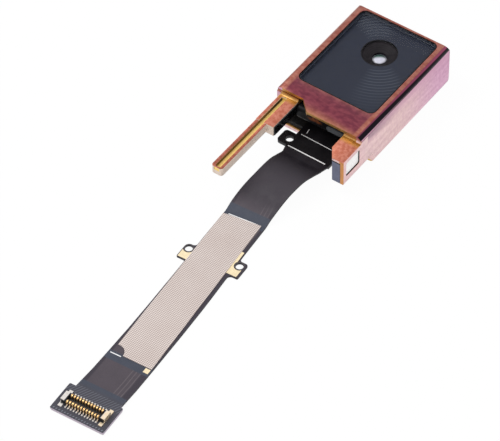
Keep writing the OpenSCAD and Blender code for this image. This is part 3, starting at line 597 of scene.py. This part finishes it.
def front_lens_material():
    """Coated front lens with a painted reflection: green at its upper side and pale at its lower
    side.
    """
    paint = Paint("lens_coating", srgb(30, 36, 38), 0.08, 0.0, Specular_IOR_Level=0.8)
    x, y, _ = paint.axes()
    down = toward_viewer(paint, x, y)
    radius = length_of(paint, x, y)
    # A painted reflection: green above, pale below, inside a dark rim.
    painted_reflection = paint.mix(paint.span(down, -0.00045, 0.00015), srgb(60, 92, 82), srgb(232, 232, 246))
    color = paint.mix(paint.span(radius, 0.00055, 0.00086), painted_reflection, srgb(44, 42, 50))
    shade = paint.mix(paint.noise(2500, 2), srgb(200, 200, 205), srgb(255, 255, 255))
    paint.feed(paint.darken(color, shade), "Base Color")
    return paint.material


def barrel_material():
    """Matt black plastic with fine turned steps down its cone."""
    paint = Paint("barrel_plastic", srgb(26, 25, 28), 0.6, 0.0, Specular_IOR_Level=0.15)
    _, _, z = paint.axes()
    steps = paint.math("SINE", paint.math("MULTIPLY", z, 2 * math.pi / 0.00012))
    tone = paint.mix(paint.noise(1800, 3), srgb(18, 16, 19), srgb(34, 30, 34))
    paint.feed(paint.mix(paint.span(steps, -1, 1, 0, 0.3), tone, srgb(46, 42, 46)), "Base Color")
    return paint.material


# ---------- flex circuit ----------

# Where the free part begins, and its middle line down to the landing, in millimetres
BEND = [
    (0.4, -9.54, 1.6), (0.4, -12.0, 1.6), (0.4, -15.9, 1.6), (0.35, -17.06, 1.98),
    (0.15, -18.3, 2.17), (0.0, -19.54, 2.09), (-0.17, -20.86, 1.8), (-0.32, -22.01, 1.45),
    (-0.43, -23.17, 1.04), (-0.5, -24.49, 0.54), (-0.459, -25.667, 0.11),
]


def on_run(along, across, z):
    """A point of the flat run in the frame, from millimetres along and across it."""
    c, n = math.cos(RUN_YAW), math.sin(RUN_YAW)
    x = LANDING[0] + (across * c + along * n) * MM
    y = LANDING[1] + (across * n - along * c) * MM
    return Vector((x, y, z * MM))


def cord_path():
    """The ribbon's middle line from the exit to the middle of its connector."""
    points = [Vector(p) * MM for p in BEND]
    points += [on_run(s, -0.05, 0.11) for s in (5, 10, 15, 20, 26.5)]
    points += [on_run(29.5, -0.2, 0.31), on_run(31.55, -0.3, 0.31)]
    return points


# Distance from one trace to the next, along the run and on the end plate
TRACE_PITCH = 0.46 * MM
TICK_PITCH = 0.36 * MM


def flex_material():
    """Black at the exit, brown grey shield film with traces, slate bands by tape and plug."""
    paint = Paint("flex_film", srgb(76, 69, 76), 0.5, 0.0, Specular_IOR_Level=0.2)
    _, y, _ = paint.axes()
    _, _, nz = paint.normal()
    along, across = frame_of_run(paint)
    grain = paint.noise(900, 4)
    film = paint.mix(grain, srgb(70, 64, 71), srgb(82, 75, 82))
    # Faint traces under the film, and slate margins outside it
    lines = paint.math("SINE", paint.math("MULTIPLY", across, 2 * math.pi / TRACE_PITCH))
    beside = all_of(paint, paint.span(lines, 0.55, 0.95), between(paint, across, 0.0009, 0.0022))
    film = paint.mix(paint.math("MULTIPLY", beside, 0.35), film, srgb(120, 112, 116))
    margin = paint.math("MAXIMUM", paint.span(across, 0.00195, 0.0022),
                        paint.span(across, -0.0025, -0.0023, 1, 0))
    color = paint.mix(paint.math("MULTIPLY", margin, 0.7), film, srgb(50, 46, 56))
    slate = paint.mix(grain, srgb(58, 62, 74), srgb(72, 76, 88))
    for low, high in ((-0.0011, 0.0006), (0.0233, 0.0245), (0.0283, 0.034)):
        color = paint.mix(between(paint, along, low, high, 0.00008), color, slate)
    plate_film = paint.mix(grain, srgb(62, 61, 69), srgb(76, 75, 84))
    color = paint.mix(paint.span(along, 0.0286, 0.0294), color, plate_film)
    slant = paint.math("ADD", across, paint.math("MULTIPLY", along, 0.55))
    ticks = paint.math("SINE", paint.math("MULTIPLY", slant, 2 * math.pi / TICK_PITCH))
    ticks = paint.span(ticks, 0.5, 0.9)
    for low, high, share in ((0.0292, 0.0304, 0.25), (0.03300, 0.03318, 0.65)):
        within = all_of(paint, ticks, between(paint, along, low, high))
        band = paint.math("MULTIPLY", within, share)
        color = paint.mix(band, color, srgb(150, 158, 170))
    # The exit is black, and from the bend on the ribbon is darker towards it
    exit_black = paint.mix(grain, srgb(11, 10, 12), srgb(22, 19, 23))
    shadow = paint.mix(grain, srgb(26, 23, 28), srgb(36, 32, 38))
    bend = paint.mix(grain, srgb(52, 47, 54), srgb(62, 57, 64))
    color = paint.mix(paint.span(y, -0.0250, -0.0225), color, bend)
    color = paint.mix(paint.span(y, -0.0205, -0.0158), color, shadow)
    color = paint.mix(paint.span(y, -0.0152, -0.0149), color, exit_black)
    edge = paint.mix(paint.span(along, 0.0292, 0.0296), srgb(40, 37, 42), srgb(176, 164, 178))
    color = paint.mix(paint.span(paint.math("ABSOLUTE", nz), 0.4, 0.7, 1, 0), color, edge)
    paint.feed(color, "Base Color")
    paint.feed(paint.span(grain, 0.3, 0.7, 0.42, 0.6), "Roughness")
    paint.bump(paint.noise(260, 3), 0.00002, 0.35)
    return paint.material


def make_flex():
    """The flex circuit from behind the plug on, smooth along its bend."""
    mesh = nodes["flex_circuit"].data.copy()
    work = bmesh.new()
    work.from_mesh(mesh)
    bmesh.ops.remove_doubles(work, verts=work.verts, dist=1e-7)
    everything = work.verts[:] + work.edges[:] + work.faces[:]
    cut = bmesh.ops.bisect_plane(work, geom=everything, plane_co=(0, -8.6 * MM, 0),
                                 plane_no=(0, 1, 0), clear_outer=True)
    rim = [e for e in cut["geom_cut"] if isinstance(e, bmesh.types.BMEdge)]
    bmesh.ops.holes_fill(work, edges=rim)
    bmesh.ops.dissolve_limit(work, angle_limit=math.radians(0.3), verts=work.verts,
                             edges=work.edges)
    for edge in work.edges:
        faces = edge.link_faces
        edge.smooth = (len(faces) == 2
                       and faces[0].normal.angle(faces[1].normal) < math.radians(25))
    for face in work.faces:
        face.smooth = True
    work.to_mesh(mesh)
    work.free()
    flex = bpy.data.objects.new("flex_ribbon", mesh)
    bpy.context.scene.collection.objects.link(flex)
    mesh.materials.clear()
    mesh.materials.append(flex_material())
    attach(flex, "root")
    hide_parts("flex_circuit")
    return flex


def printed(name, points, faces, material):
    """A new piece printed on the flex, from points in metres."""
    mesh = bpy.data.meshes.new(name)
    mesh.from_pydata([tuple(point) for point in points], [], faces)
    piece = bpy.data.objects.new(name, mesh)
    bpy.context.scene.collection.objects.link(piece)
    mesh.materials.append(material)
    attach(piece, "root")
    return piece


# Heights of the ink and of the rings, and the hair by which they clear the film
INK_H = 0.006 * MM
RING_H = 0.012 * MM
PRINT_GAP = 0.001 * MM
EXIT_TOP = 1.71 * MM
RING_SIDES = 48
RING_R = (0.455 * MM, 0.6 * MM)


def bar(name, start, end, width, material):
    """A printed bar between two points, in metres."""
    start, end = Vector(start), Vector(end)
    side = (end - start).cross(Vector((0, 0, 1))).normalized() * (width / 2)
    low = [start - side, start + side, end + side, end - side]
    high = [corner + Vector((0, 0, INK_H)) for corner in low]
    faces = [(3, 2, 1, 0), (4, 5, 6, 7)]
    faces += [(i, (i + 1) % 4, 4 + (i + 1) % 4, 4 + i) for i in range(4)]
    return printed(name, low + high, faces, material)


def at_exit(x, y):
    """A point on top of the exit stretch, from millimetres."""
    return Vector((x * MM, y * MM, EXIT_TOP + PRINT_GAP))


def make_print():
    """White marks: two bars and a tick at the exit, and lines at both ends of the tape."""
    white = grained("white_print", srgb(236, 236, 236), 0.6, vary=0.03)
    low = (FLEX_T + PRINT_GAP) / MM
    marks = (
        ("exit_line_upper", at_exit(-2.05, -12.62), at_exit(2.2, -12.7), 0.09),
        ("exit_line_lower", at_exit(-2.29, -14.88), at_exit(2.82, -14.9), 0.14),
        ("exit_tick", at_exit(-1.73, -11.5), at_exit(-1.63, -12.15), 0.09),
        ("tape_top_line", on_run(0.26, -2.3, low), on_run(-0.02, 1.75, low), 0.12),
        ("tape_end_line", on_run(23.62, -2.5, low), on_run(23.6, -1.15, low), 0.12),
    )
    return [bar(name, start, end, width * MM, white) for name, start, end, width in marks]


def ring(name, middle, material):
    """A flat ring printed round a hole of the run."""
    points = []
    for radius in RING_R:
        for level in (0, RING_H):
            for i in range(RING_SIDES):
                turn = 2 * math.pi * i / RING_SIDES
                rim = (radius * math.cos(turn), radius * math.sin(turn), level)
                points.append(middle + Vector(rim))
    # The points lie in four circles: inner low, inner high, outer low and outer high
    high_in, low_out, high_out = RING_SIDES, 2 * RING_SIDES, 3 * RING_SIDES
    faces = []
    for i in range(RING_SIDES):
        j = (i + 1) % RING_SIDES
        faces.append((high_in + i, high_out + i, high_out + j, high_in + j))
        faces.append((low_out + i, low_out + j, high_out + j, high_out + i))
        faces.append((j, i, high_in + i, high_in + j))
        faces.append((i, j, low_out + j, low_out + i))
    return printed(name, points, faces, material)


def make_ear_rings():
    """The dark rings round the holes of both ears."""
    dark = grained("ring_film", srgb(62, 56, 60), 0.5)
    low = (FLEX_T + PRINT_GAP) / MM
    return [
        ring("left_ear_ring", on_run(6.85, -3.3, low), dark),
        ring("right_ear_ring", on_run(6.2, 2.9, low), dark),
    ]


def tape_material():
    """Woven conductive tape: fine crossing threads that catch the light in turn."""
    paint = Paint("woven_tape", srgb(208, 196, 190), 0.55, 0.25)
    along, across = frame_of_run(paint)
    step = 2 * math.pi / (0.42 * MM)
    lean = paint.math("MULTIPLY", along, 0.9)
    threads = paint.math("SINE", paint.math("MULTIPLY", paint.math("ADD", across, lean), step))
    cross = paint.math("SINE", paint.math("MULTIPLY", paint.math("SUBTRACT", across, lean), step))
    weave = paint.math("MULTIPLY", threads, cross)
    tone = paint.mix(paint.span(weave, -0.5, 0.6), srgb(172, 158, 153), srgb(232, 223, 218))
    drift = paint.mix(paint.noise(250, 3), srgb(236, 230, 228), srgb(255, 255, 255))
    paint.feed(paint.darken(tone, drift), "Base Color")
    paint.feed(paint.span(weave, -0.6, 0.6, 0.68, 0.5), "Roughness")
    paint.bump(weave, 0.00001, 0.5)
    return paint.material


# ---------- connector ----------

def contact_material():
    """Gilded bows, and tails dulled by solder near the flex."""
    paint = Paint("contact_gilt", srgb(222, 170, 92), 0.28, 0.9)
    _, _, z = paint.axes()
    gilt = paint.mix(paint.noise(4000, 3), srgb(236, 200, 142), srgb(196, 146, 86))
    tin = paint.mix(paint.noise(4000, 3), srgb(236, 232, 226), srgb(206, 200, 194))
    paint.feed(paint.mix(paint.span(z, 0.00052, 0.00062), tin, gilt), "Base Color")
    return paint.material


def holddown_material():
    """Tinned metal, with gold showing at the end away from the arm."""
    paint = Paint("tinned_metal", srgb(225, 220, 212), 0.35, 0.75)
    _, across = frame_of_run(paint)
    blot = paint.noise(3500, 4)
    tin = paint.mix(blot, srgb(240, 236, 232), srgb(196, 188, 180))
    gilt = paint.mix(blot, srgb(232, 196, 130), srgb(240, 236, 228))
    paint.feed(paint.mix(paint.span(across, 0.0019, 0.0022), tin, gilt), "Base Color")
    paint.bump(blot, 0.00002, 0.6)
    return paint.material


# ---------- plain finishes ----------

def plug_material():
    """Glossy black plastic with a painted brown reflection on the bar."""
    paint = Paint("plug_plastic", srgb(16, 16, 18), 0.4, 0.0, Specular_IOR_Level=0.12)
    x, _, z = paint.axes()
    # A painted reflection: a brown patch on the glossy bar.
    reflection_patch = all_of(paint, between(paint, x, -0.0016, 0.0002, 0.0003),
                   between(paint, z, 0.0040, 0.0050, 0.0002),
                   paint.span(paint.noise(1600, 3), 0.42, 0.6))
    tone = paint.mix(paint.noise(700, 3), srgb(9, 9, 11), srgb(20, 20, 23))
    brown_reflection = paint.math("MULTIPLY", reflection_patch, 0.8)
    paint.feed(paint.mix(brown_reflection, tone, srgb(120, 66, 36)), "Base Color")
    return paint.material


def magnet_material():
    """Grey plating, with painted shadow along the upper edge, under the top plate, and along the
    inner one.
    """
    paint = Paint("magnet_plating", srgb(95, 98, 120), 0.38, 0.6)
    x, _, z = paint.axes()
    tone = paint.mix(paint.noise(1500, 4), srgb(84, 88, 108), srgb(108, 112, 134))
    # Painted shadow: near black along the upper edge and the inner one.
    rim = paint.math("MAXIMUM", paint.span(z, 0.00468, 0.00476),
                     paint.span(x, 0.00434, 0.00440, 1, 0))
    paint.feed(paint.mix(rim, tone, srgb(16, 15, 20)), "Base Color")
    return paint.material


PLAIN = {
    # node: (name, colour, roughness, metallic)
    "window_adhesive": ("black_adhesive", srgb(14, 14, 15), 0.7, 0.0),
    "lens_gasket": ("black_foam", srgb(22, 22, 24), 0.9, 0.0),
    "lens_element_2": ("lens_glass", srgb(26, 30, 36), 0.06, 0.0),
    "lens_element_3": ("lens_glass_inner", srgb(26, 30, 36), 0.06, 0.0),
    "lens_element_4": ("lens_glass_rear", srgb(26, 30, 36), 0.06, 0.0),
    "lens_spacers": ("spacer_black", srgb(14, 14, 14), 0.8, 0.0),
    "lens_holder": ("holder_plastic", srgb(24, 24, 26), 0.55, 0.0),
    "ir_filter": ("filter_glass", srgb(80, 150, 170), 0.1, 0.0),
    "image_sensor": ("silicon", srgb(60, 52, 80), 0.2, 0.3),
    "sensor_board": ("board_laminate", srgb(24, 60, 38), 0.45, 0.0),
    "board_stiffener": ("steel_plate", srgb(180, 180, 184), 0.35, 0.9),
    "rear_foam": ("rear_foam", srgb(16, 15, 16), 0.9, 0.0),
    "capacitors": ("ceramic", srgb(176, 150, 112), 0.5, 0.0),
    "memory_chip": ("chip_package", srgb(22, 22, 24), 0.5, 0.0),
    "cap_pad": ("pad_rubber", srgb(72, 76, 80), 0.6, 0.0),
    "glide_pad": ("glide_plastic", srgb(246, 245, 243), 0.45, 0.0),
    "arm_liner": ("liner_black", srgb(12, 12, 14), 0.16, 0.0),
    "exit_stiffener": ("stiffener_black", srgb(16, 15, 17), 0.4, 0.0),
    "ground_pads": ("gilt_copper", srgb(238, 220, 182), 0.42, 0.45),
    "connector_stiffener": ("plate_steel", srgb(186, 176, 184), 0.35, 0.85),
    "connector_housing": ("connector_plastic", srgb(20, 20, 22), 0.4, 0.0),
}


def dress_nodes():
    """Give every CAD node that stays its finish."""
    for node, (name, color, roughness, metallic) in PLAIN.items():
        dress(node, grained(name, color, roughness, metallic))
    dress("pattern_film", film_material())
    dress("lens_element_1", front_lens_material())
    dress("lens_barrel", barrel_material())
    dress("bottom_cap", plug_material())
    dress("hall_magnet", magnet_material())
    dress("ground_tape", tape_material())
    dress("connector_contacts", contact_material())
    dress("connector_holddowns", holddown_material())


def declare_cord(flex, marks):
    """Works out the flex's middle line from the plug to its connector."""
    path = cord_path()


make_stage()
make_housing()
make_glass()
dress_nodes()
declare_cord(make_flex(), make_print() + make_ear_rings())
